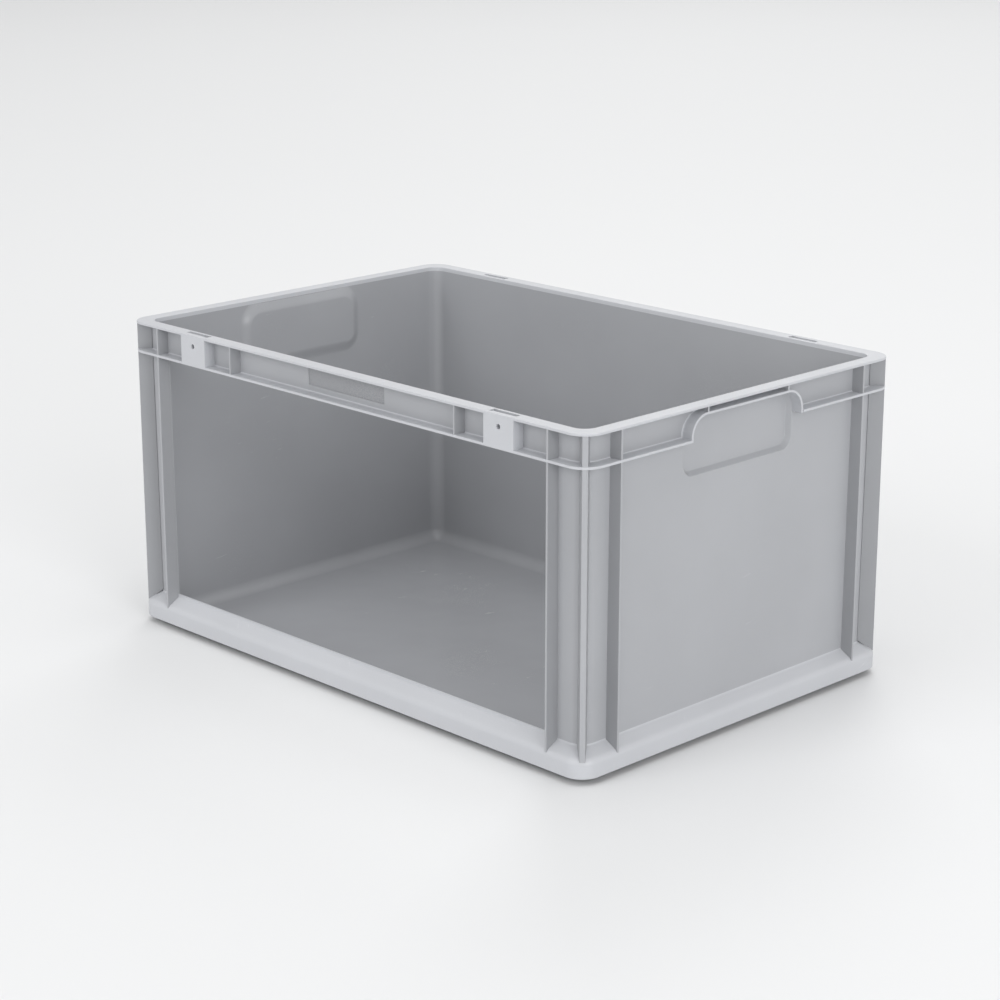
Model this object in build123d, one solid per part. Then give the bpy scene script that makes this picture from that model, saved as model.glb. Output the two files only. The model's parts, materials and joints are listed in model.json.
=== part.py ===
from build123d import *
import os

# Rigid stacking crate with a picking window in one long side, in millimetres.
# It stands on z = 0, centred on x and y. The window faces -Y and the grips are on the short sides.
# The whole crate is one plastic moulding, so its regions meet face to face and never overlap.

# Overall sizes
length = 600.0
width = 400.0
height = 300.0

# Walls
wall = 2.8                  # thickness of every wall
recess = 11.2               # how far the walls stand in from the outer faces, at the rim
draft = 1.0                 # how much further in the walls stand at the bottom

# Rim and lower flange
rim_thickness = 2.4
rim_radius = 19.0           # outer corners, seen from above
rim_edge_round = 0.7
flange_thickness = 2.4
flange_drop = 29.8          # from the top of the rim to the underside of the flange

# Base band and stacking foot
band_height = 16.0          # upright face of the band, up to the corner of its sloping shelf
band_radius = 18.0          # outer corners, seen from above
shelf_rise = 8.5            # climb of the sloping shelf up to the wall
shelf_round = 8.0           # rounding between the upright face and the shelf
band_wall = 2.6
band_edge_round = 0.8
foot_height = 5.5           # what drops into the rim of the crate below
stack_clearance = 2.2       # gap all round between the foot and the rim below
floor_thickness = 2.8
floor_round = 12.0          # rounding between the floor and the walls
floor_corner_radius = 0.5   # corners of the flat middle of the floor, seen from above

# Ribs
post_rib_thickness = 2.6
post_rib_from_end = 43.1    # long sides, from the end of the crate to the middle of the rib
side_rib_from_end = 43.2    # short sides, likewise
corner_rib_thickness = 5.4
header_rib_thickness = 2.0
header_rib_offset = 148.2   # from the middle of the long side
rib_edge_round = 0.6
rib_set_back = 0.4          # from the crate's outer face to the edges of the ribs

# Clip pads for a lid, two on each long side
pad_width = 35.0
pad_offset = 201.7          # middle of the pad from the middle of the long side
pad_hole_diameter = 4.6
pad_hole_drop = 10.4        # below the top of the rim
slot_length = 31.0
slot_width = 5.0
slot_depth = 22.0
slot_inset = 5.4            # from the outer face to the slot
notch_length = 4.0
notch_width = 7.4

# Label recess in the header of each long side
label_width = 101.0
label_depth = 1.2
label_drop = 22.0           # below the top of the rim

# Grips in the short sides
grip_half_width = 70.2      # inside the arch
grip_top_drop = 9.0         # from the top of the rim to the underside of the arch
grip_bottom_drop = 63.0
grip_depth = 4.7            # how far the grip is sunk into the wall
grip_slope = 2.4            # how much the grip narrows on the way in, each side
arch_thickness = 2.3
arch_radius = 17.0          # inside the arch
grip_corner_radius = 12.0
riblet_thickness = 2.0
riblet_offset = 52.0

# Worked out from the sizes above
cavity_radius = floor_round + floor_corner_radius
outer_radius = cavity_radius + wall
rim_underside = height - rim_thickness
flange_underside = height - flange_drop
flange_top = flange_underside + flange_thickness
band_corner = foot_height + band_height
shelf_top = band_corner + shelf_rise
foot_inset = recess + wall + stack_clearance
ledge_top = foot_height + floor_thickness + floor_round
post_rib_x = length / 2 - post_rib_from_end
side_rib_y = width / 2 - side_rib_from_end
window_half = post_rib_x - post_rib_thickness / 2
root_inset = 2 * recess     # ribs and pads are drawn in to here, then trimmed at the wall
mitre_reach = width / 4     # how far the mitres between the sides run in from the corners
overshoot = 1.0             # how far a cut runs past the face it opens
far = max(length, width, height) * 2


def face_inset(z):
    """Distance from the crate's outer face to the outer face of the wall, at height z."""
    return recess + draft * (height - z) / height


def rounded_plan(inset, radius, z):
    """The crate's outline drawn in by an inset, as a face at height z."""
    plan = RectangleRounded(length - 2 * inset, width - 2 * inset, radius)
    return Pos(0, 0, z) * plan


def tapered_block(extra, radius, bottom, top):
    """The wall's outer surface filled solid, drawn in by an extra distance."""
    lower = rounded_plan(face_inset(bottom) + extra, radius, bottom)
    upper = rounded_plan(face_inset(top) + extra, radius, top)
    return loft([lower, upper], ruled=True)


def plate(radius, bottom, top, edge_round):
    """A level plate of the crate's full outline, with its outer edges rounded."""
    solid = extrude(rounded_plan(0, radius, bottom), top - bottom)
    rims = solid.edges().filter_by_position(Axis.Z, bottom, bottom)
    rims += solid.edges().filter_by_position(Axis.Z, top, top)
    return fillet(rims, edge_round)


def box(x0, x1, y0, y1, z0, z1):
    """A block between two corners, given in any order."""
    size = (abs(x1 - x0), abs(y1 - y0), abs(z1 - z0))
    return Pos((x0 + x1) / 2, (y0 + y1) / 2, (z0 + z1) / 2) * Box(*size)


def quarter(side):
    """The part of space in front of one side, bounded by the mitres through the corners."""
    sx = length / 2 + mitre_reach
    sy = width / 2 + mitre_reach
    inner_x = length / 2 - mitre_reach
    inner_y = width / 2 - mitre_reach
    plans = {
        "front": [(-sx, -sy), (sx, -sy), (inner_x, -inner_y), (-inner_x, -inner_y)],
        "back": [(sx, sy), (-sx, sy), (-inner_x, inner_y), (inner_x, inner_y)],
        "left": [(-sx, sy), (-sx, -sy), (-inner_x, -inner_y), (-inner_x, inner_y)],
        "right": [(sx, -sy), (sx, sy), (inner_x, inner_y), (inner_x, -inner_y)],
    }
    plan = Pos(0, 0, -overshoot) * make_face(Polyline(*plans[side], close=True))
    return extrude(plan, height + 2 * overshoot)


def turned(solid, side):
    """A solid modelled on the front or the right side, turned half round for the opposite side."""
    if side in ("back", "left"):
        return Rot(0, 0, 180) * solid
    return solid


sides = ("front", "back", "left", "right")
regions = {side: quarter(side) for side in sides}

# Blocks that the regions are cut from
outer_block = tapered_block(0, outer_radius, 0, height)
cavity = tapered_block(wall, cavity_radius, ledge_top, height)


def base_section(hollow, reach):
    """Upright section through the base band: x is the way in from the outer face, y is height."""
    slope = shelf_rise / face_inset(shelf_top)
    drop = band_wall * (1 + slope ** 2) ** 0.5
    shelf_end = band_corner + slope * reach
    points = [(0, foot_height), (0, band_corner), (reach, shelf_end)]
    if hollow:
        points += [(reach, shelf_end - drop), (band_wall, band_corner + slope * band_wall - drop)]
        points += [(band_wall, foot_height)]
    else:
        points += [(reach, foot_height)]
    face = make_face(Polyline(*points, close=True))
    face = fillet(face.vertices().sort_by_distance((0, band_corner, 0))[0], shelf_round)
    return fillet(face.vertices().group_by(Axis.Y)[0], band_edge_round)


def base_band(hollow):
    """The band round the base: straight runs joined by quarter turns, which reach further in
    because the walls' corners are rounder than the band's."""
    straight_x = length / 2 - band_radius
    straight_y = width / 2 - band_radius
    section = base_section(hollow, face_inset(shelf_top) + wall / 2)
    corner_section = base_section(hollow, band_radius - band_edge_round)
    across = Plane((-straight_x, -width / 2, 0), x_dir=(0, 1, 0), z_dir=(1, 0, 0))
    along = Plane((-length / 2, -straight_y, 0), x_dir=(1, 0, 0), z_dir=(0, -1, 0))
    long_run = extrude(across * section, 2 * straight_x)
    short_run = extrude(along * section, -2 * straight_y)
    turn = revolve(along * corner_section, Axis((-straight_x, -straight_y, 0), (0, 0, 1)), 90)
    other_turn = mirror(turn, Plane.YZ)
    half = long_run + short_run + turn + other_turn
    return half + Rot(0, 0, 180) * half


def foot_ring():
    """The step under the walls that drops into the rim below, with the curved edge of the floor."""
    solid = outer_block & box(-far, far, -far, far, foot_height, ledge_top)
    solid += extrude(rounded_plan(foot_inset, cavity_radius, 0), foot_height)
    bowl_inset = face_inset(ledge_top) + wall
    bowl = extrude(rounded_plan(bowl_inset, cavity_radius, floor_thickness), ledge_top - floor_thickness)
    bowl = fillet(bowl.edges().group_by(Axis.Z)[0], floor_round)
    floor = rounded_plan(bowl_inset + floor_round, cavity_radius - floor_round, 0)
    return solid - bowl - extrude(floor, floor_thickness), extrude(floor, floor_thickness)


def grip_outline(outer):
    """Outline of the grip seen from the end of the crate, drawn out by an amount."""
    top = height - grip_top_drop + outer
    bottom = height - grip_bottom_drop - outer
    half = grip_half_width + outer
    face = Pos(0, (top + bottom) / 2) * Rectangle(2 * half, top - bottom)
    face = fillet(face.vertices().group_by(Axis.Y)[-1], arch_radius + outer)
    return fillet(face.vertices().group_by(Axis.Y)[0], grip_corner_radius + outer)


def grip_block(outer, inset_from, inset_to, narrow=0.0):
    """The grip's outline pushed into the right-hand wall between two insets, narrowing on the way in."""
    near = Plane((length / 2 - inset_from, 0, 0), x_dir=(0, 1, 0), z_dir=(1, 0, 0))
    deep = Plane((length / 2 - inset_to, 0, 0), x_dir=(0, 1, 0), z_dir=(1, 0, 0))
    return loft([near * grip_outline(outer), deep * grip_outline(outer - narrow)], ruled=True)


def rim_ring():
    """The flat rim, rounded along its outer edges and its inner top edge."""
    opening_inset = face_inset(height) + wall
    opening = extrude(rounded_plan(opening_inset, cavity_radius, rim_underside), rim_thickness)
    ring = plate(rim_radius, rim_underside, height, rim_edge_round) - opening
    inner_x = length / 2 - opening_inset / 2
    inner_y = width / 2 - opening_inset / 2
    tops = ring.edges().group_by(Axis.Z)[-1]
    inner = [edge for edge in tops if abs(edge.center().X) < inner_x and abs(edge.center().Y) < inner_y]
    return fillet(inner, rim_edge_round)


def front_fin(x, thickness, bottom, top):
    """An upright rib on the front, from the outer face back into the wall, with rounded outer edges."""
    y_out = -width / 2 + rib_set_back
    fin = box(x - thickness / 2, x + thickness / 2, y_out, root_inset - width / 2, bottom, top)
    return fillet(fin.edges().filter_by(Axis.Z).group_by(Axis.Y)[0], rib_edge_round) - outer_block


def end_fin(y, thickness, bottom, top):
    """An upright rib on the right-hand end, likewise."""
    x_out = length / 2 - rib_set_back
    fin = box(length / 2 - root_inset, x_out, y - thickness / 2, y + thickness / 2, bottom, top)
    return fillet(fin.edges().filter_by(Axis.Z).group_by(Axis.X)[-1], rib_edge_round) - outer_block


def corner_fin(bottom, top):
    """The upright rib on the diagonal of the front right corner."""
    reach = rim_radius - rib_set_back
    fin = box(-rim_radius / 2, reach, -corner_rib_thickness / 2, corner_rib_thickness / 2, bottom, top)
    fin = fillet(fin.edges().filter_by(Axis.Z).group_by(Axis.X)[-1], 2 * rib_edge_round)
    place = Pos(length / 2 - rim_radius, -width / 2 + rim_radius, 0) * Rot(0, 0, -45)
    return place * fin - outer_block


def full_height(fin, *where):
    """A rib in its two lengths: from the base band up to the lower flange, and on up to the rim."""
    lower = fin(*where, foot_height + band_height / 2, flange_underside) - band_filled
    return lower + fin(*where, flange_top, rim_underside)


def pad_space(x):
    """The block of one clip pad, flush with the rim and the lower flange."""
    half = pad_width / 2
    space = box(x - half, x + half, -width / 2, root_inset - width / 2, flange_underside, height)
    return space - outer_block


def front_edges(solid):
    """The level edges of a solid's front face, from the lowest up."""
    return solid.edges().filter_by(Axis.X).group_by(Axis.Y)[0].sort_by(Axis.Z)


def clip_pad(x):
    """A front clip pad: a slot in its top, wider at the end nearer the middle of the crate,
    and a cross hole through its face into the slot."""
    face_y = -width / 2
    slot_y = face_y + slot_inset
    slot_x = x - slot_length / 2
    slot_bottom = height - slot_depth
    slot = box(slot_x, slot_x + slot_length, slot_y, slot_y + slot_width, slot_bottom, height)
    notch_y = slot_y + (slot_width - notch_width) / 2
    notch = box(slot_x, slot_x + notch_length, notch_y, notch_y + notch_width, slot_bottom, height)
    hole = Cylinder(pad_hole_diameter / 2, slot_inset + overshoot)
    hole = Pos(x, face_y + slot_inset / 2, height - pad_hole_drop) * Rot(90, 0, 0) * hole
    pad = pad_space(x)
    pad = fillet(front_edges(pad)[-1], rim_edge_round)
    pad = fillet(front_edges(pad)[0], rib_edge_round)
    return pad - slot - notch - hole


def label_recess():
    """The shallow recess in the middle of the front header."""
    face_y = face_inset(rim_underside) - width / 2
    near_y = face_y - overshoot
    deep_y = face_y + label_depth
    return box(-label_width / 2, label_width / 2, near_y, deep_y, height - label_drop, height)


nodes = {}

# Base
band_filled = base_band(hollow=False)
band_ring = base_band(hollow=True) - outer_block
foot, nodes["floor_panel"] = foot_ring()
for side in sides:
    nodes[f"base_band_{side}"] = band_ring & regions[side]
    nodes[f"stacking_foot_{side}"] = foot & regions[side]

# Grips: a dish sunk into each short wall, an arch over it, and two riblets up to the rim
wall_inset = face_inset(height)
dish_body = grip_block(wall, wall_inset - wall, wall_inset + grip_depth + wall, grip_slope) & outer_block
dish_hollow = grip_block(0, wall_inset, wall_inset + grip_depth, grip_slope)
mouth = grip_block(0, -overshoot, wall_inset)
dish = dish_body - dish_hollow - mouth
arch_body = grip_block(arch_thickness, 0, root_inset)
arch_body = fillet(arch_body.faces().sort_by(Axis.X)[-1].edges(), rib_edge_round)
arch_zone = box(0, length, -width / 2, width / 2, flange_underside, rim_underside)
arch_hollow = grip_block(0, -overshoot, root_inset + overshoot)
arch = (arch_body & arch_zone) - arch_hollow - outer_block
arch_top = height - grip_top_drop + arch_thickness
riblet_places = (-riblet_offset, riblet_offset)
riblets = [end_fin(y, riblet_thickness, arch_top, rim_underside) for y in riblet_places]
for side in ("left", "right"):
    nodes[f"grip_dish_{side}"] = turned(dish, side)
    nodes[f"grip_arch_{side}"] = turned(arch, side)
    nodes[f"grip_riblets_{side}"] = turned(Compound(riblets), side)

# Walls
wall_ring = (outer_block - cavity) & box(-far, far, -far, far, ledge_top, rim_underside)
nodes["back_wall"] = (wall_ring & regions["back"]) - turned(label_recess(), "back")
for side in ("left", "right"):
    nodes[f"{side}_wall"] = (wall_ring & regions[side]) - turned(dish_body, side)
front_ring = wall_ring & regions["front"]
window_zone = box(-window_half, window_half, -width, 0, 0, height)
above_window = box(-far, far, -width, 0, flange_underside, height)
below_window = box(-far, far, -width, 0, 0, shelf_top)
nodes["front_header"] = (front_ring & window_zone & above_window) - label_recess()
nodes["front_sill"] = front_ring & window_zone & below_window
nodes["front_jamb_left"] = (front_ring - window_zone) & box(-far, 0, -far, far, 0, height)
nodes["front_jamb_right"] = (front_ring - window_zone) & box(0, far, -far, far, 0, height)

# Header: clip pads, and thin ribs between the rim and the lower flange that give way to them
pad = clip_pad(pad_offset)
nodes["clip_pad_front_right"] = pad
nodes["clip_pad_front_left"] = mirror(pad, Plane.YZ)
nodes["clip_pad_back_right"] = mirror(pad, Plane.XZ)
nodes["clip_pad_back_left"] = turned(pad, "back")
space = pad_space(pad_offset)
pad_spaces = [space, mirror(space, Plane.YZ), mirror(space, Plane.XZ), turned(space, "back")]
thin = [
    front_fin(x, header_rib_thickness, flange_top, rim_underside) - pad_spaces
    for x in (-header_rib_offset, header_rib_offset)
]
nodes["header_ribs_front"] = Compound(thin)
nodes["header_ribs_back"] = turned(Compound(thin), "back")

# Upright ribs
for side, x in (("left", -post_rib_x), ("right", post_rib_x)):
    rib = full_height(front_fin, x, post_rib_thickness) - pad_spaces
    nodes[f"post_rib_front_{side}"] = rib
    nodes[f"post_rib_back_{side}"] = mirror(rib, Plane.XZ)
for place, y in (("front", -side_rib_y), ("back", side_rib_y)):
    rib = full_height(end_fin, y, post_rib_thickness)
    nodes[f"side_rib_{place}_right"] = rib
    nodes[f"side_rib_{place}_left"] = mirror(rib, Plane.YZ)
corner = full_height(corner_fin)
nodes["corner_rib_front_right"] = corner
nodes["corner_rib_front_left"] = mirror(corner, Plane.YZ)
nodes["corner_rib_back_right"] = mirror(corner, Plane.XZ)
nodes["corner_rib_back_left"] = turned(corner, "back")

# Rim and lower flange
rim = rim_ring()
flange = plate(rim_radius, flange_underside, flange_top, rib_edge_round) - outer_block
for space in pad_spaces:
    rim -= space
    flange -= space
arch_gap = grip_block(arch_thickness, -overshoot, root_inset)
flange = flange - arch_gap - turned(arch_gap, "left")
for side in sides:
    nodes[f"rim_{side}"] = rim & regions[side]
for side in ("front", "back"):
    nodes[f"flange_{side}"] = flange & regions[side]
for side in ("left", "right"):
    nodes[f"flange_{side}_front"] = flange & regions[side] & box(-far, far, -far, 0, 0, height)
    nodes[f"flange_{side}_back"] = flange & regions[side] & box(-far, far, 0, far, 0, height)

os.makedirs("parts", exist_ok=True)
for name, shape in nodes.items():
    shape.label = name
    export_step(shape, f"parts/{name}.step")
volume = sum(shape.volume for shape in nodes.values())
print(len(nodes), "nodes,", round(volume / 1000), "cubic centimetres")
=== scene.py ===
import json
import math

import bmesh
import bpy
import mathutils
import numpy as np
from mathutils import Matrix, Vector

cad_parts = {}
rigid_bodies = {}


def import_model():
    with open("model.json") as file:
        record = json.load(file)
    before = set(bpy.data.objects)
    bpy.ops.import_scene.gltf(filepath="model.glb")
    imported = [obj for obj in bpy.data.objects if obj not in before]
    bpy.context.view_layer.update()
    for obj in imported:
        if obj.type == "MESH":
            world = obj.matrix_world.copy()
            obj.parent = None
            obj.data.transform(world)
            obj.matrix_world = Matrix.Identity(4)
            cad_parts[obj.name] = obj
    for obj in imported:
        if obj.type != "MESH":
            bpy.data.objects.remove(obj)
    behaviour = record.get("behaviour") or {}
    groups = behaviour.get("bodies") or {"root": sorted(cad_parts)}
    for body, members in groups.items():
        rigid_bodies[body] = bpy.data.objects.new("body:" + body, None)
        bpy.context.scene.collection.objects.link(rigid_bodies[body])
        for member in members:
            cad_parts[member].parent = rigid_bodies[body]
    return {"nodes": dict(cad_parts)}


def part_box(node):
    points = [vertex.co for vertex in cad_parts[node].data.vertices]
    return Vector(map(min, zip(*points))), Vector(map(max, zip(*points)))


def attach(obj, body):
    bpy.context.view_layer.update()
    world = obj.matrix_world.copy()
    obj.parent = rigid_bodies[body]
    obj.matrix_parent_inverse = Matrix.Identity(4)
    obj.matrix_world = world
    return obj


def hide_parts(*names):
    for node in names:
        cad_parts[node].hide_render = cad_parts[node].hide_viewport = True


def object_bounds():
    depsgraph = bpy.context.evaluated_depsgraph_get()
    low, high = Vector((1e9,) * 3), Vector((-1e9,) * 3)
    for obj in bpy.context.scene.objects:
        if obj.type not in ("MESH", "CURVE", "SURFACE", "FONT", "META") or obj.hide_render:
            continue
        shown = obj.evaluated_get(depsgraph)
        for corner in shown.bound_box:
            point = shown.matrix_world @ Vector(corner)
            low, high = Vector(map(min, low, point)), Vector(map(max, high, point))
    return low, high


for leftover in list(bpy.data.objects):
    bpy.data.objects.remove(leftover)
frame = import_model()
cadLow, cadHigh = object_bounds()
halfLength, halfWidth, height = cadHigh.x, cadHigh.y, cadHigh.z
print("frame loaded:", len(frame["nodes"]), "nodes")

# Heights and insets that every piece shares, read from the frame
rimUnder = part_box("rim_front")[0].z
flangeUnder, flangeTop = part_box("flange_left_front")[0].z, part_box("flange_left_front")[1].z
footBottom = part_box("base_band_left")[0].z
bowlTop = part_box("stacking_foot_left")[1].z
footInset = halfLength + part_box("floor_panel")[0].x
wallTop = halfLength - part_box("right_wall")[1].x       # inset of the walls' outer face under the rim
plastic = {
    "wall": 0.0028,          # wall thickness
    "draft": 0.0010,         # how much further in the walls stand at the bottom
    "outerCorner": 0.0153,   # plan radius of the walls outside
    "rimCorner": 0.0190,
    "bandCorner": 0.0180,
    "shelfCorner": 0.0215,   # height where the band's upright face turns into the shelf
    "shelfTop": 0.0300,
    "tipInset": 0.0004,      # rib edges behind the outer faces
    "embed": 0.0006,         # how far a rib's ends run into what they meet
}


def wallInset(z):
    # Inset of the walls' outer face, growing in a straight line towards the bottom
    return wallTop + plastic["draft"] * (rimUnder - z) / height


def shelfHeight(inset):
    # Height of the sloping shelf at an inset, a straight line from the band's corner to the wall
    climb = (plastic["shelfTop"] - plastic["shelfCorner"]) / wallInset(plastic["shelfTop"])
    return plastic["shelfCorner"] + climb * inset


def softOutline(points, radii, steps=5):
    # A closed outline whose corners are tangent arcs: each corner is cut back by radius / tan(half angle)
    # and bridged by an arc about the point radius / sin(half angle) along the bisector
    points, out = np.array(points, float), []
    for i, radius in enumerate(radii):
        corner = points[i]
        toLast, toNext = points[i - 1] - corner, points[(i + 1) % len(points)] - corner
        toLast, toNext = toLast / np.linalg.norm(toLast), toNext / np.linalg.norm(toNext)
        if radius <= 0:
            out.append(corner[None])
            continue
        half = math.acos(np.clip(toLast @ toNext, -1, 1)) / 2
        middle = (toLast + toNext) / np.linalg.norm(toLast + toNext)
        centre = corner + middle * radius / math.sin(half)
        first = corner + toLast * radius / math.tan(half) - centre
        last = corner + toNext * radius / math.tan(half) - centre
        turn = math.atan2(first[0] * last[1] - first[1] * last[0], first @ last)
        angle = np.linspace(0, turn, steps + 1)[:, None]
        across = np.array([-first[1], first[0]])
        out.append(centre + np.cos(angle) * first + np.sin(angle) * across)
    return np.concatenate(out)


def meshFrom(name, grid, closeAcross=True, closeAlong=False, caps=True, sharp=32):
    # Joins a grid of points (stations x outline) into quads, closes its two ends with flat caps
    stations, around = grid.shape[:2]
    index = np.arange(stations * around).reshape(stations, around)
    rows = index if not closeAlong else np.vstack([index, index[:1]])
    cols = rows if not closeAcross else np.hstack([rows, rows[:, :1]])
    quads = np.stack([cols[:-1, :-1], cols[1:, :-1], cols[1:, 1:], cols[:-1, 1:]], -1).reshape(-1, 4)
    faces = quads.tolist()
    if caps and not closeAlong:
        faces += [index[0].tolist(), index[-1][::-1].tolist()]
    mesh = bpy.data.meshes.new(name)
    mesh.from_pydata(grid.reshape(-1, 3), [], faces)
    mesh.validate()
    return finished(name, mesh, sharp)


def finished(name, mesh, sharp):
    # Turns the mesh right way out, shades it smooth between sharp edges and gives flats their own normals
    shell = bmesh.new()
    shell.from_mesh(mesh)
    bmesh.ops.remove_doubles(shell, verts=shell.verts, dist=1e-7)
    bmesh.ops.recalc_face_normals(shell, faces=shell.faces)
    if shell.calc_volume(signed=True) < 0:
        bmesh.ops.reverse_faces(shell, faces=shell.faces)
    shell.to_mesh(mesh)
    shell.free()
    mesh.shade_smooth()
    mesh.set_sharp_from_angle(angle=math.radians(sharp))
    piece = bpy.data.objects.new(name, mesh)
    bpy.context.scene.collection.objects.link(piece)
    weighted = piece.modifiers.new("flat faces lead", "WEIGHTED_NORMAL")
    weighted.keep_sharp = True
    weighted.weight = 90
    return piece


def course(*legs, arcSteps=12):
    # Stations round the crate's outline: each is a point (u, v) held inside the corner arcs' centres,
    # and the direction outwards. A leg is a side with two places along it; "corner" stations lie between
    stations = []
    sides = {"front": (-90, 0), "right": (0, 1), "back": (90, 0), "left": (180, 1)}
    for i, (side, places) in enumerate(legs):
        angle, axis = sides[side]
        outward = np.array([math.cos(math.radians(angle)), math.sin(math.radians(angle))])
        for place in places:
            point = np.sign(np.round(outward)) * 9.0
            point[axis] = place
            stations.append((*point, angle))
        if i + 1 < len(legs):
            here, there = angle, sides[legs[i + 1][0]][0]
            there += 360 if there < here - 180 else 0
            middle = math.radians((here + there) / 2)
            corner = np.sign([math.cos(middle), math.sin(middle)]) * 9.0
            stations += [(*corner, a) for a in np.linspace(here, there, arcSteps + 1)]
    return np.array(stations)


def carried(stations, outline, cornerRadius):
    # Carries an outline of (inset, height) points along the stations: each outline point runs on its own
    # rounded rectangle, whose corner radius comes from its inset
    inset, z = outline[:, 0], outline[:, 1]
    radius = cornerRadius(inset)
    reachX, reachY = halfLength - inset - radius, halfWidth - inset - radius
    baseX = np.clip(stations[:, 0:1], -reachX, reachX)
    baseY = np.clip(stations[:, 1:2], -reachY, reachY)
    angle = np.radians(stations[:, 2:3])
    x = baseX + radius * np.cos(angle)
    y = baseY + radius * np.sin(angle)
    return np.stack([x, y, np.broadcast_to(z, x.shape)], -1)


class Wire:
    # Wraps a shader socket, so that expressions on values add their Math nodes
    def __init__(self, maker, socket):
        self.maker, self.socket = maker, socket

    def maths(self, operation, first, second):
        return self.maker.add("ShaderNodeMath", {"operation": operation}, {0: first, 1: second})

    def __add__(self, other):
        return self.maths("ADD", self, other)

    def __sub__(self, other):
        return self.maths("SUBTRACT", self, other)

    def __rsub__(self, other):
        return self.maths("SUBTRACT", other, self)

    def __mul__(self, other):
        return self.maths("MULTIPLY", self, other)

    def __pow__(self, other):
        return self.maths("POWER", self, other)

    __radd__, __rmul__ = __add__, __mul__

    def ramp(self, low, high):
        # 0 below low and 1 above high, with a smooth turn between
        sockets = {"Value": self, "From Min": low, "From Max": high}
        return self.maker.add("ShaderNodeMapRange", {"interpolation_type": "SMOOTHSTEP"}, sockets)


class Maker:
    # Adds nodes to one material or world: a node's type, then its settings, then the values or links
    # of its sockets
    def __init__(self, name, kind=bpy.data.materials):
        self.material = kind.new(name)
        self.material.use_nodes = True
        self.tree = self.material.node_tree
        self.tree.nodes.clear()

    def add(self, kind, settings=None, sockets=None, out=0):
        node = self.tree.nodes.new(kind)
        for key, value in (settings or {}).items():
            setattr(node, key, value)
        for key, value in (sockets or {}).items():
            if isinstance(value, Wire):
                self.tree.links.new(value.socket, node.inputs[key])
            else:
                node.inputs[key].default_value = value
        return Wire(self, node.outputs[out]) if len(node.outputs) else None


mouldedGrey = {
    "colour": (0.400, 0.408, 0.428, 1.0),
    "deepColour": (0.368, 0.375, 0.394, 1.0),
    "scuffColour": (0.520, 0.528, 0.545, 1.0),
    "grainScale": 1500.0,     # fine spark-eroded grain, per metre
    "waveScale": 22.0,        # slow waves in the thin walls
    "flowScale": 7.0,         # cloudy colour where the melt cooled unevenly
}
finishes = {  # brightness (below 1 paints shade, above 1 paints a highlight), roughness, strength of the grain, strength of the waves, share of scuffs
    "outside": (1.00, 0.46, 0.35, 0.10, 0.30),
    # edges: more scuffs from real wear, and a lighter colour that is painted highlight
    "edges": (1.34, 0.44, 0.25, 0.05, 0.55),
    # inside: glossier, and a darker colour that is painted shade
    "inside": (0.92, 0.24, 0.12, 0.14, 0.20),
    # label: the label recess's flat, a darker colour that is painted shade
    "label": (0.78, 0.26, 0.10, 0.05, 0.12),
    "flankShade": (0.80, 0.42, 0.30, 0.05, 0.10),   # the narrow sides of the ribs, darkened as painted shade
}


def crateFinish(name):
    # Satin polypropylene: cloudy flow tone, fine grain, slow waves, and scuffs that run mostly level
    brightness, roughness, grainDepth, waveDepth, scuffShare = finishes[name]
    make = Maker("moulded_grey_" + name)
    place = make.add("ShaderNodeTexCoord", out=3)
    look = mouldedGrey
    # brightness scales all three colours, which paints shade or highlight into every finish but the outside
    shades = {key: (*(min(1.0, part * brightness) for part in look[key][:3]), 1.0)
              for key in ("colour", "deepColour", "scuffColour")}

    def noise(scale, detail, vector=place, rough=0.5):
        sockets = {"Vector": vector, "Scale": scale, "Detail": detail, "Roughness": rough}
        return make.add("ShaderNodeTexNoise", {}, sockets)

    flow = noise(look["flowScale"], 3.0).ramp(0.32, 0.68)
    grain = noise(look["grainScale"], 2.0)
    waves = noise(look["waveScale"], 1.0)
    stretched = make.add("ShaderNodeMapping", {"vector_type": "TEXTURE"},
                         {"Vector": place, "Rotation": (0.25, 0.4, 0.3), "Scale": (14.0, 14.0, 1.0)})
    scratches = noise(620.0, 2.0, stretched).ramp(0.66, 0.74)
    patches = noise(16.0, 4.0, rough=0.65).ramp(0.50, 0.72)
    scuffs = scratches * patches * scuffShare
    rubbed = noise(90.0, 6.0, rough=0.7).ramp(0.55, 0.80) * patches * (0.45 * scuffShare)
    worn = make.add("ShaderNodeMath", {"operation": "ADD", "use_clamp": True}, {0: scuffs, 1: rubbed})
    tone = make.add("ShaderNodeMix", {"data_type": "RGBA"},
                    {"Factor": flow * 0.55 + grain * 0.18, 6: shades["colour"],
                     7: shades["deepColour"]}, out=2)
    colour = make.add("ShaderNodeMix", {"data_type": "RGBA"},
                      {"Factor": worn, 6: tone, 7: shades["scuffColour"]}, out=2)
    gloss = roughness + worn * 0.22 + (flow - 0.5) * 0.05 + (grain - 0.5) * 0.08
    rough = make.add("ShaderNodeBump", {}, {"Height": waves, "Strength": waveDepth, "Distance": 0.004})
    fine = make.add("ShaderNodeBump", {}, {"Height": grain - scuffs * 0.6, "Strength": grainDepth,
                                           "Distance": 0.00006, "Normal": rough})
    skin = make.add("ShaderNodeBsdfPrincipled", {},
                    {"Base Color": colour, "Roughness": gloss, "Normal": fine, "IOR": 1.49,
                     "Specular IOR Level": 0.5, "Subsurface Weight": 0.0})
    make.add("ShaderNodeOutputMaterial", {}, {"Surface": skin})
    return make.material


skins = {name: crateFinish(name) for name in finishes}
print("finishes made:", ", ".join(skins))

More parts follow.
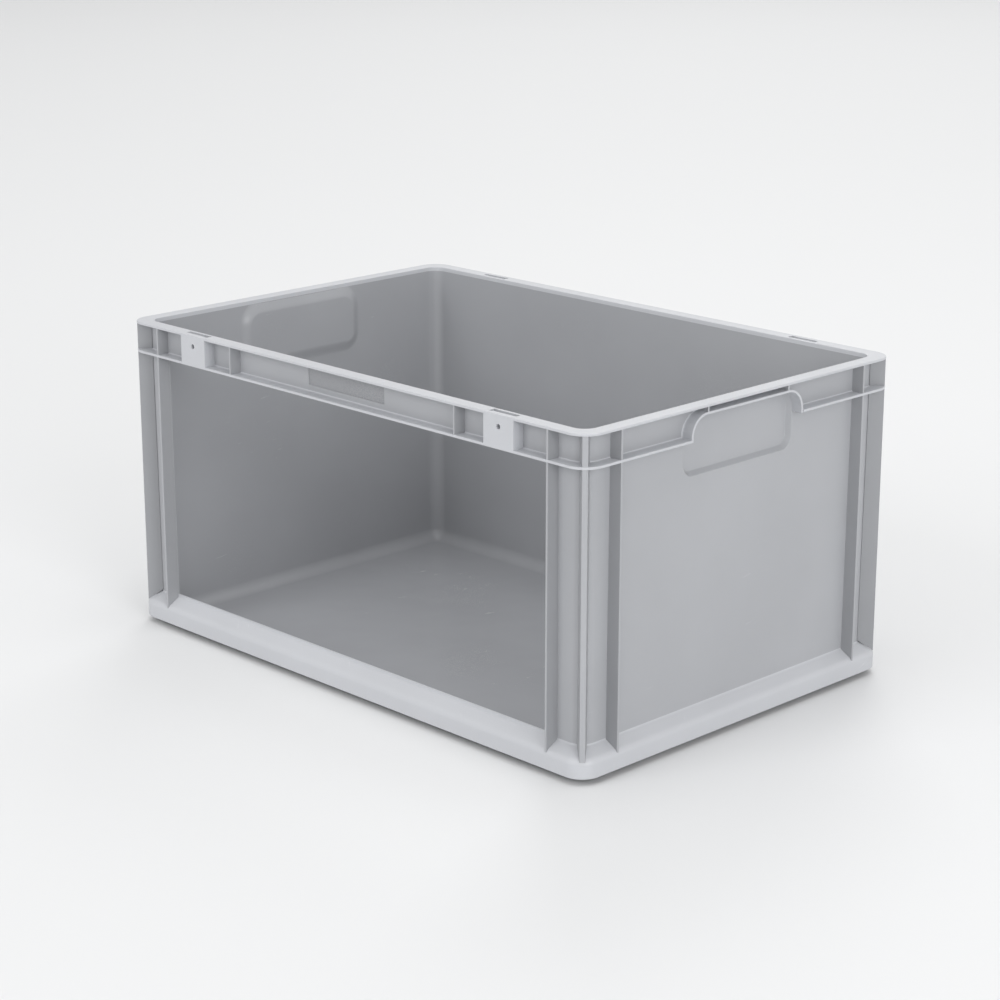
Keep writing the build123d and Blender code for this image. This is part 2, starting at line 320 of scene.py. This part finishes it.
# Which finish a CAD node shows where it isn't replaced: edges is lighter as painted highlight besides its
# scuffs, inside darker as painted shade
edgeNodes = ("rim_", "flange_", "base_band_", "clip_pad_", "grip_arch_")
for name, node in frame["nodes"].items():
    finish = "edges" if name.startswith(edgeNodes) else "inside" if name == "floor_panel" else "outside"
    node.data.materials.clear()
    node.data.materials.append(skins[finish])


def place(piece, finish, *nodes):
    # Gives a piece its finish and its place in the assembly
    piece.data.materials.append(skins[finish])
    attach(piece, "root")
    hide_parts(*nodes)
    return piece


def faceSides(piece):
    # Every face's normal and middle, as arrays
    faces = piece.data.polygons
    normals, middles = np.empty(len(faces) * 3), np.empty(len(faces) * 3)
    faces.foreach_get("normal", normals)
    faces.foreach_get("center", middles)
    return normals.reshape(-1, 3), middles.reshape(-1, 3)


def innerFaces(piece):
    # 1 for a face that looks into the crate: its normal leans towards the middle in plan, so that the dot
    # product of the normal and the face's place is negative
    normals, middles = faceSides(piece)
    return ((normals * middles)[:, :2].sum(1) < 0).astype(np.int32)


def lined(piece):
    # Gives the faces that look into the crate the inside finish: glossier, and darker as painted shade
    piece.data.materials.append(skins["inside"])
    piece.data.polygons.foreach_set("material_index", innerFaces(piece))


def merged(parts):
    # Joins separate shells into the first one, as one piece
    name = parts[0].name
    for part in parts[1:]:
        part.modifiers.clear()
    with bpy.context.temp_override(active_object=parts[0], selected_editable_objects=parts):
        bpy.ops.object.join()
    parts[0].name = parts[0].data.name = name
    return parts[0]


def cornerRadius(inset):
    # Plan radius of the corners from the outer face to the flat of the floor, in straight stretches
    places = (0.0, wallTop, wallTop + plastic["wall"], wallInset(bowlTop) + plastic["wall"], footInset)
    inner = plastic["outerCorner"] - plastic["wall"]
    return np.interp(inset, places, (plastic["rimCorner"], plastic["outerCorner"], inner, inner, 0.0005))


def smoothStep(x):
    x = np.clip(x, 0, 1)
    return x * x * (3 - 2 * x)


def splitLong(outline, longest):
    # Adds points along the outline's long straight stretches
    ends = np.roll(outline, -1, 0)
    parts = [np.linspace(a, b, max(1, math.ceil(np.linalg.norm(b - a) / longest)) + 1)[:-1]
             for a, b in zip(outline, ends)]
    return np.concatenate(parts)


rim = {"edgeRound": 0.0007, "skirt": 0.0016, "rootRound": 0.0012}
padHalf = (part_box("clip_pad_front_right")[1].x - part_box("clip_pad_front_right")[0].x) / 2
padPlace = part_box("clip_pad_front_right")[0].x + padHalf
padNear, padFar = padPlace - padHalf, padPlace + padHalf
straightX, straightY = 0.262, 0.162       # where the straight runs hand over to the corners


def rimOutline():
    # The flat rim with a short skirt down the wall, its outer and inner edges rounded and its root flared
    wallOut, wallIn = wallTop, wallTop + plastic["wall"]
    points = [(0, rimUnder), (0, height), (wallIn, height), (wallIn, rimUnder - rim["skirt"]),
              (wallOut, rimUnder - rim["skirt"]), (wallOut, rimUnder)]
    edge = rim["edgeRound"]
    return softOutline(points, (edge, edge, edge, 0, 0, rim["rootRound"]))


def flangeOutline(rootBelow):
    # The lower flange: rounded outer edges and a flared root above, and below where the wall goes on down
    inside = wallInset(flangeTop) + 0.5 * plastic["wall"]
    face, flare = wallInset(flangeTop), rim["rootRound"]
    points = [(inside, flangeUnder), (face, flangeUnder), (0, flangeUnder), (0, flangeTop), (face, flangeTop),
              (face, flangeTop + 1.5 * flare), (inside, flangeTop + 1.5 * flare)]
    radii = [0, 0, 0.0006, 0.0006, flare, 0, 0]
    if rootBelow:
        low = flangeUnder - 1.5 * flare
        points[0:2] = [(inside, low), (face, low), (face, flangeUnder)]
        radii[0:2] = [0, 0, flare]
    return softOutline(points, radii)


rimRuns = {
    "rim_front": course(("front", (-padNear, 0, padNear))),
    "rim_right": course(("front", (padFar, straightX)), ("right", (-straightY, 0, straightY)),
                        ("back", (straightX, padFar))),
    "rim_back": course(("back", (padNear, 0, -padNear))),
    "rim_left": course(("back", (-padFar, -straightX)), ("left", (straightY, 0, -straightY)),
                       ("front", (-straightX, -padFar))),
}
def bridgeOutline():
    # What is left of the rim behind a clip pad: the top of the wall, with its inner edge rounded
    wallOut, wallIn, low = wallTop + 0.0001, wallTop + plastic["wall"], rimUnder - rim["skirt"]
    return softOutline([(wallOut, low), (wallOut, height), (wallIn, height), (wallIn, low)],
                       (0, 0, rim["edgeRound"], 0))


for name, stations in rimRuns.items():
    runs = [meshFrom("shell_" + name, carried(stations, rimOutline(), cornerRadius))]
    side = name.removeprefix("rim_")
    if side in ("front", "back"):
        for ends in ((-padFar, -padNear), (padNear, padFar)):
            behindPad = course((side, ends if side == "front" else ends[::-1]))
            runs.append(meshFrom("bridge", carried(behindPad, bridgeOutline(), cornerRadius)))
    place(merged(runs), "edges", name)

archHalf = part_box("flange_right_back")[0].y
flangeRuns = {
    "flange_front": (False, course(("front", (-padNear, 0, padNear)))),
    "flange_back": (True, course(("back", (padNear, 0, -padNear)))),
    "flange_right_front": (True, course(("front", (padFar, straightX)), ("right", (-straightY, -archHalf)))),
    "flange_right_back": (True, course(("right", (archHalf, straightY)), ("back", (straightX, padFar)))),
    "flange_left_back": (True, course(("back", (-padFar, -straightX)), ("left", (straightY, archHalf)))),
    "flange_left_front": (True, course(("left", (-archHalf, -straightY)), ("front", (-straightX, -padFar)))),
}
for name, (rootBelow, stations) in flangeRuns.items():
    flangeGrid = carried(stations, flangeOutline(rootBelow), cornerRadius)
    place(meshFrom("shell_" + name, flangeGrid), "edges", name)
print("rim and flange built")

base = {"shelfRound": 0.008, "bandWall": 0.0026, "edgeRound": 0.0008, "rootRound": 0.0022,
        "footEdge": 0.0012, "bowlRound": 0.0115, "footStep": 0.0040}


def bandOutline():
    # The band's upright face, a wide rounding, the sloping shelf and a flare up the wall, then back under it
    top, wallFace = plastic["shelfTop"], wallInset(plastic["shelfTop"])
    corner, skin = plastic["shelfCorner"], base["bandWall"]
    inside = wallFace + 0.5 * plastic["wall"]
    points = [(0, footBottom), (0, corner), (wallFace, top), (wallFace, top + 0.003), (inside, top + 0.003),
              (inside, shelfHeight(inside) - 1.2 * skin), (skin, shelfHeight(skin) - 1.2 * skin),
              (skin, footBottom)]
    radii = (base["edgeRound"], base["shelfRound"], base["rootRound"], 0, 0, 0, 0.002, base["edgeRound"])
    return softOutline(points, radii, 8)


def footOutline():
    # The foot's step below the wall and, inside, the round turn from the wall to the floor
    outer, deep = wallInset(bowlTop), footInset
    inner = outer + plastic["wall"]
    step = outer + base["footStep"]
    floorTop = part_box("floor_panel")[1].z
    points = [(outer, bowlTop), (outer, footBottom), (step, footBottom), (step, 0), (deep, 0),
              (deep, floorTop), (inner, floorTop), (inner, bowlTop)]
    return softOutline(points, (0, 0, 0.0006, base["footEdge"], 0, 0, base["bowlRound"], 0), 9)


ringRuns = {
    "front": course(("left", (-straightY + 0.02, -straightY)), ("front", (-straightX, 0, straightX)),
                    ("right", (-straightY, -straightY + 0.02))),
    "right": course(("right", (-straightY + 0.02, 0, straightY - 0.02))),
    "back": course(("right", (straightY - 0.02, straightY)), ("back", (straightX, 0, -straightX)),
                   ("left", (straightY, straightY - 0.02))),
    "left": course(("left", (straightY - 0.02, 0, -straightY + 0.02))),
}
for side, stations in ringRuns.items():
    band = carried(stations, bandOutline(), cornerRadius)
    place(meshFrom("shell_band_" + side, band), "edges", "base_band_" + side)
    foot = carried(stations, footOutline(), cornerRadius)
    # the foot and its turn to the floor take the inside finish, darker as painted shade
    place(meshFrom("shell_foot_" + side, foot), "inside", "stacking_foot_" + side)
print("base built")

panel = {"labelHalf": 0.0505, "labelDepth": 0.0012, "labelSoft": 0.0009,
         "labelBottom": height - 0.022, "step": 0.012}
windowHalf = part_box("front_header")[1].x
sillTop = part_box("front_sill")[1].z


def wallOutline(bottom, top):
    # A drafted wall: outer face up, inner face down, with close rows for shallow relief
    face = np.array([(wallInset(bottom), bottom), (wallInset(top), top)])
    back = face[::-1] + (plastic["wall"], 0)
    return splitLong(np.vstack([face, back]), panel["step"])


def labelRelief(along, z):
    # Depth of the label recess: a product of soft steps at its two ends and its lower edge
    soft = panel["labelSoft"]
    ends = smoothStep((panel["labelHalf"] - np.abs(along)) / soft)
    return panel["labelDepth"] * ends * smoothStep((z - panel["labelBottom"]) / soft)


def closeTo(value, soft):
    # Places on both sides of a soft step
    return value + soft * np.array((-0.3, 0.0, 0.25, 0.5, 0.75, 1.0, 1.3))


def panelGrid(stations, outline, recess=None):
    grid = carried(stations, outline, cornerRadius)
    if recess:
        outward = np.stack([np.cos(np.radians(stations[:, 2])), np.sin(np.radians(stations[:, 2]))], -1)
        along = grid[..., 0]
        outer = outline[:, 0] < wallInset(outline[:, 1]) + 0.3 * plastic["wall"]
        depth = recess(along, grid[..., 2]) * outer
        grid[..., :2] -= outward[:, None] * depth[..., None]
    return grid


wallBottom, wallEnd = bowlTop, rimUnder - rim["skirt"]
soft = panel["labelSoft"]
labelEnd = closeTo(panel["labelHalf"] - soft, soft)
labelPlaces = np.sort(np.concatenate([-labelEnd, labelEnd]))


def labelledOutline(bottom):
    # A wall outline with extra rows at the label recess's lower edge, on both faces
    rows = np.concatenate([[bottom], closeTo(panel["labelBottom"], soft), [wallEnd]])
    rows = np.unique(rows)
    outer = np.stack([wallInset(rows), rows], -1)
    return np.vstack([outer, outer[::-1] + (plastic["wall"], 0)])


headerRun = course(("front", (-windowHalf, *labelPlaces, windowHalf)))
header = panelGrid(headerRun, labelledOutline(flangeUnder), labelRelief)
headerPiece = place(meshFrom("shell_header", header, sharp=50), "outside", "front_header")
lined(headerPiece)
headerPiece.data.materials.append(skins["label"])
normals, middles = faceSides(headerPiece)       # the flat of the label recess is painted darker, as painted shade
flat = (normals[:, 1] < 0) & (np.abs(middles[:, 0]) < panel["labelHalf"] - soft / 2)
flat &= middles[:, 2] > panel["labelBottom"] + soft / 2
headerSkins = np.where(flat, 2, innerFaces(headerPiece)).astype(np.int32)
headerPiece.data.polygons.foreach_set("material_index", headerSkins)
backRun = course(("right", (straightY, straightY + 0.006)), ("back", (straightX, *-labelPlaces, -straightX)),
                 ("left", (straightY + 0.006, straightY)))
back = panelGrid(backRun, labelledOutline(wallBottom), labelRelief)
lined(place(meshFrom("shell_back_wall", back, sharp=50), "outside", "back_wall"))
sill = panelGrid(course(("front", (-windowHalf, 0, windowHalf))), wallOutline(wallBottom, sillTop))
lined(place(meshFrom("shell_sill", sill), "outside", "front_sill"))
jambRuns = {
    "right": course(("front", (windowHalf, straightX + 0.006)), ("right", (-straightY - 0.006, -straightY))),
    "left": course(("left", (-straightY, -straightY - 0.006)), ("front", (-straightX - 0.006, -windowHalf))),
}
for side, stations in jambRuns.items():
    jamb = panelGrid(stations, wallOutline(wallBottom, wallEnd))
    lined(place(meshFrom("shell_jamb_" + side, jamb), "outside", "front_jamb_" + side))
print("plain walls built")

grip = {
    "half": 0.0702, "topDrop": 0.0090, "bottomDrop": 0.0630, "topRound": 0.017, "bottomRound": 0.012,
    "depth": 0.0047, "slope": 0.0024, "mouthRound": 0.0012, "floorRound": 0.0016,
    "archThickness": 0.0023, "bulgeSoft": 0.0110, "underRim": 0.0003,
}
cornerSteps, edgeSteps = 10, 8


def gripLoop(outer):
    # The grip's outline at an offset, as (y, z): four arcs whose centres stay put, joined by straight edges
    top, bottom = height - grip["topDrop"], height - grip["bottomDrop"]
    corners = [(1, bottom, grip["bottomRound"], -90), (1, top, grip["topRound"], 0),
               (-1, top, grip["topRound"], 90), (-1, bottom, grip["bottomRound"], 180)]
    loop = []
    for side, edge, radius, start in corners:
        centre = (side * (grip["half"] - radius), edge + (radius if edge == bottom else -radius))
        angle = np.radians(start + np.linspace(0, 90, cornerSteps + 1))[:, None]
        loop.append(np.array(centre) + (radius + outer) * np.hstack([np.cos(angle), np.sin(angle)]))
    return joined(loop)


def panelLoop():
    # The wall's own rectangle with as many points in each corner and edge as the grip's outline
    top = wallEnd
    corners = [(straightY, wallBottom), (straightY, top), (-straightY, top), (-straightY, wallBottom)]
    return joined([np.repeat([corner], cornerSteps + 1, 0) for corner in corners])


def joined(corners):
    # Runs corner arcs into one closed loop, with points along the edges between them
    loop = []
    for i, arc in enumerate(corners):
        nextArc = corners[(i + 1) % len(corners)]
        share = np.linspace(0, 1, edgeSteps + 1)[1:-1, None]
        loop += [arc, arc[-1] * (1 - share) + nextArc[0] * share]
    return np.concatenate(loop)


def gripWall(side):
    # Rings from the middle of the grip outwards over its floor, slope and mouth, out to the wall's edges,
    # round them, and back in over the bulge behind. Depth is measured in from the wall's drafted face
    inner = -grip["slope"] - 0.001
    slopeFrom, slopeTo = (inner, grip["depth"]), (0.0, 0.0)
    profile = softOutline([(inner - 0.004, grip["depth"]), slopeFrom, slopeTo, (0.004, 0.0), (0.004, 0.02),
                           (inner - 0.004, 0.02)], (0, grip["floorRound"], grip["mouthRound"], 0, 0, 0), 5)
    rings = [tuple(point) for point in profile[:-3]]
    loops = [np.column_stack([gripLoop(offset), np.full(len(gripLoop(0)), depth)]) for offset, depth in rings]
    edge = np.column_stack([panelLoop(), np.zeros(len(panelLoop()))])
    mouth = loops[-1]
    loops += [mouth * (1 - w) + edge * w for w in (0.12, 0.35, 0.65, 1.0)]
    wall, soft = plastic["wall"], grip["bulgeSoft"]
    behind = edge + (0, 0, wall)
    bulgeFoot = np.column_stack([gripLoop(wall + soft / 2), np.full(len(edge), wall)])
    bulgeFoot[:, 1] = np.minimum(bulgeFoot[:, 1], wallEnd - grip["underRim"])
    loops += [behind * (1 - w) + bulgeFoot * w for w in (0.0, 0.4, 0.75, 0.93)]
    for w in np.linspace(0, 1, 12):
        offset = wall + soft / 2 - (soft + grip["slope"]) * w
        depth = wall + (grip["depth"] - 0.0004) * smoothStep(w)
        slope = gripLoop(offset)
        slope[:, 1] = np.minimum(slope[:, 1], wallEnd - grip["underRim"] * (1 + w))
        loops.append(np.column_stack([slope, np.full(len(edge), depth)]))
    offset = wall - soft / 2 - grip["slope"]
    deep = wall + grip["depth"] - 0.0004
    loops.append(np.column_stack([gripLoop(offset - 0.004), np.full(len(edge), deep)]))
    rings = np.array(loops)
    x = side * (halfLength - wallInset(rings[..., 1]) - rings[..., 2])
    return np.stack([x, side * rings[..., 0], rings[..., 1]], -1)


def archPiece(side):
    # The arch fin over the grip: an upright outline of (offset, inset) carried along the grip's loop,
    # from the flange's underside on one side over the top to the other
    loopIn = gripLoop(0)
    keep = loopIn[:, 1] > flangeUnder - 0.0002
    order = np.argsort(np.where(keep, 0, 1), kind="stable")[: keep.sum()]
    order = order[np.argsort(np.arctan2(loopIn[order, 1] - flangeUnder, loopIn[order, 0]))]
    thick, tip = grip["archThickness"], plastic["tipInset"]
    root = wallTop + 0.5 * plastic["wall"]
    flare = 0.0010
    face = wallInset(0.285)
    foot = thick + flare * 1.5
    points = [(0, root), (0, tip), (thick, tip), (thick, face), (foot, face), (foot, root)]
    outline = softOutline(points, (0, 0.0007, 0.0007, flare, 0, 0), 4)
    grid = []
    for offset, inset in outline:
        loop = gripLoop(offset)[order]
        loop[0, 1] = loop[-1, 1] = flangeUnder
        x = np.full(len(loop), side * (halfLength - inset))
        grid.append(np.column_stack([x, side * loop[:, 0], loop[:, 1]]))
    return np.array(grid).transpose(1, 0, 2)


for name, side in (("right", 1), ("left", -1)):
    wallPiece = meshFrom("shell_" + name + "_wall", gripWall(side), sharp=50)
    lined(place(wallPiece, "outside", name + "_wall", "grip_dish_" + name))
    place(meshFrom("shell_arch_" + name, archPiece(side)), "edges", "grip_arch_" + name)
print("grips built")

ribs = {"tipRound": 0.0006, "rootRound": 0.0014, "tipDraft": 0.0002, "flankLean": 0.6,
        "footEmbed": 0.0012}


def finOutline(thickness):
    # Half outline of a rib across its thickness: flared root, flat side, rounded tip. Each point is
    # (across, depth behind the tip, height over the root) and hangs on the tip or on the wall
    half, tipRound, flare = thickness / 2, ribs["tipRound"], ribs["rootRound"]
    turn = np.radians(np.linspace(0, 90, 5))
    tip = [(half - ribs["tipDraft"] - tipRound + tipRound * math.cos(a), tipRound * (1 - math.sin(a)), 0.0)
           for a in turn]
    root = [(half + flare * (1 - math.cos(a)), -1.0, flare * (1 - math.sin(a))) for a in turn[::-1]]
    root.append((half + flare, -1.0, -0.001))
    sideways = np.array(root[::-1] + tip)
    return np.vstack([sideways, sideways[::-1] * (-1, 1, 1)])


def finPiece(centre, outward, thickness, bottom, top, tipInset, rootAt):
    # Carries the rib's outline upwards. centre is where the tip stands, outward its direction in plan, and
    # rootAt(z) gives how far behind the tip the wall's face is. Where bottom is None the foot follows
    # the shelf
    outline = finOutline(thickness)
    outward = np.array(outward, float)
    along = np.array([-outward[1], outward[0]])
    levels = np.linspace(0, 1, 9)[:, None]
    highest = top + plastic["embed"]
    onWall = outline[:, 1] < 0
    guess = np.where(onWall, rootAt(0.03) - outline[:, 2], outline[:, 1])
    if bottom is None:
        lowest = shelfHeight(tipInset + guess) - ribs["footEmbed"]
    else:
        lowest = bottom - plastic["embed"]
    z = lowest * (1 - levels) + highest * levels
    behind = np.where(onWall, rootAt(z) - outline[:, 2], outline[:, 1])
    x = centre[0] + along[0] * outline[:, 0] - outward[0] * behind
    y = centre[1] + along[1] * outline[:, 0] - outward[1] * behind
    return np.stack([x, y, np.broadcast_to(z, x.shape)], -1)


def straightRib(side, at, thickness, spans):
    # Ribs on a straight wall, one for each span of height
    places = {"front": ((at, -halfWidth), (0, -1)), "back": ((at, halfWidth), (0, 1)),
              "right": ((halfLength, at), (1, 0)), "left": ((-halfLength, at), (-1, 0))}
    corner, outward = places[side]
    tip = plastic["tipInset"]
    centre = np.array(corner) - np.array(outward) * tip
    return [finPiece(centre, outward, thickness, bottom, top, tip, lambda z: wallInset(z) - tip)
            for bottom, top in spans]


def cornerRib(signX, signY, spans):
    # The thick rib on a corner's diagonal, from the rim's round corner back to the wall's
    outward = np.array([signX, signY]) / math.sqrt(2)
    rimCentre = np.array([signX * (halfLength - plastic["rimCorner"]),
                          signY * (halfWidth - plastic["rimCorner"])])
    reach = plastic["rimCorner"] - plastic["tipInset"]

    def rootAt(z):
        shift = wallInset(z) + plastic["outerCorner"] - plastic["rimCorner"]
        return reach + shift * math.sqrt(2) - plastic["outerCorner"]

    return [finPiece(rimCentre + outward * reach, outward, 0.0054, bottom, top, plastic["tipInset"], rootAt)
            for bottom, top in spans]


def bundle(name, grids, finish, node, outward):
    # Joins a node's separate ribs into one piece. Faces square to the way the ribs point are their flanks,
    # which get a darker finish as painted shade
    piece = place(merged([meshFrom(name, grid) for grid in grids]), finish, node)
    normals, middles = faceSides(piece)
    piece.data.materials.append(skins["flankShade"])
    ahead = np.abs(normals[:, :2] @ np.array(outward))
    piece.data.polygons.foreach_set("material_index", (ahead < ribs["flankLean"]).astype(np.int32))


def middle(node, axis):
    low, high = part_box(node)
    return (low[axis] + high[axis]) / 2


fullHeight = ((None, flangeUnder), (flangeTop, rimUnder))
headerOnly = ((flangeTop, rimUnder),)
postThickness = 0.0026
for end, sign in (("left", -1), ("right", 1)):
    for side in ("front", "back"):
        node = f"post_rib_{side}_{end}"
        grids = straightRib(side, middle(node, 0), postThickness, fullHeight)
        bundle("shell_" + node, grids, "outside", node, (0, 1))
        node = f"side_rib_{side}_{end}"
        grids = straightRib(end, middle(node, 1), postThickness, fullHeight)
        bundle("shell_" + node, grids, "outside", node, (1, 0))
        node = f"corner_rib_{side}_{end}"
        signY = -1 if side == "front" else 1
        bundle("shell_" + node, cornerRib(sign, signY, fullHeight), "outside", node,
               (sign * math.sqrt(0.5), signY * math.sqrt(0.5)))
    node = "grip_riblets_" + end
    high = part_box(node)[1].y - 0.001
    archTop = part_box(node)[0].z
    grids = [g for y in (-high, high) for g in straightRib(end, y, 0.0020, ((archTop, rimUnder),))]
    bundle("shell_" + node, grids, "edges", node, (1, 0))
for side in ("front", "back"):
    node = "header_ribs_" + side
    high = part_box(node)[1].x - 0.001
    grids = [g for x in (-high, high) for g in straightRib(side, x, 0.0020, headerOnly)]
    bundle("shell_" + node, grids, "outside", node, (0, 1))
print("ribs built")

studio = {
    "floorSize": 60.0, "floorDrop": 0.0003, "floorColour": (0.79, 0.795, 0.80, 1.0), "floorRoughness": 0.55,
    "skyLow": 1.38, "skyAbove": 0.82, "skyFade": (0.02, 0.30),   # brightness near the horizon and above
    "camera": (1.607, -1.577, 0.8115), "lens": 90.0, "aim": (0.0, 0.0, 0.143),
}
# A light is its place, the point it looks at, its width and height, and its power
lights = {
    "rightHigh": ((6.6, -2.3, 3.1), (0.0, 0.0, 0.15), (3.3, 3.3), 107.0),
    "rightLow": ((7.2, -2.0, 1.5), (0.0, 0.0, 0.15), (2.6, 2.6), 74.0),
    "front": ((-1.4, -7.0, 4.1), (0.0, 0.0, 0.15), (3.7, 3.7), 146.0),
    "back": ((-3.8, 5.6, 4.9), (0.0, 0.0, 0.25), (3.7, 3.7), 100.0),
    "overhead": ((0.3, 0.2, 5.8), (0.0, 0.0, 0.0), (3.2, 3.2), 74.0),
}


def aimed(thing, place, target):
    # Puts a light or camera at a place, looking at a point
    line = mathutils.Vector(target) - mathutils.Vector(place)
    thing.location = place
    thing.rotation_euler = line.to_track_quat("-Z", "Y").to_euler()
    bpy.context.scene.collection.objects.link(thing)


def paleFloor():
    # A level sheet with a faint mottle, wide enough to fill every view
    half, low = studio["floorSize"] / 2, -studio["floorDrop"]
    corners = [(-half, -half, low), (half, -half, low), (half, half, low), (-half, half, low)]
    mesh = bpy.data.meshes.new("studioFloor")
    mesh.from_pydata(corners, [], [(0, 1, 2, 3)])
    make = Maker("studio_floor")
    place = make.add("ShaderNodeTexCoord", out=3)
    mottle = make.add("ShaderNodeTexNoise", {}, {"Vector": place, "Scale": 3.0, "Detail": 2.0})
    skin = make.add("ShaderNodeBsdfPrincipled", {},
                    {"Base Color": studio["floorColour"],
                     "Roughness": mottle * 0.1 + studio["floorRoughness"]})
    make.add("ShaderNodeOutputMaterial", {}, {"Surface": skin})
    mesh.materials.append(make.material)
    floor = bpy.data.objects.new("studioFloor", mesh)
    bpy.context.scene.collection.objects.link(floor)


paleFloor()
for name, (place, target, size, power) in lights.items():
    lamp = bpy.data.lights.new(name, "AREA")
    lamp.shape, lamp.size, lamp.size_y, lamp.energy = "RECTANGLE", *size, power
    aimed(bpy.data.objects.new(name, lamp), place, target)
sky = Maker("studio", bpy.data.worlds)
direction = sky.add("ShaderNodeSeparateXYZ", {}, {0: sky.add("ShaderNodeTexCoord")}, out=2)
glow = direction.ramp(*studio["skyFade"]) * (studio["skyAbove"] - studio["skyLow"]) + studio["skyLow"]
sky.add("ShaderNodeOutputWorld", {}, {0: sky.add("ShaderNodeBackground", {}, {"Strength": glow})})
bpy.context.scene.world = sky.material
bpy.context.scene.view_settings.view_transform = "Standard"
cameraData = bpy.data.cameras.new("camera")
cameraData.lens, cameraData.sensor_width = studio["lens"], 36.0
camera = bpy.data.objects.new("camera", cameraData)
aimed(camera, studio["camera"], studio["aim"])
bpy.context.scene.camera = camera
print("studio set")
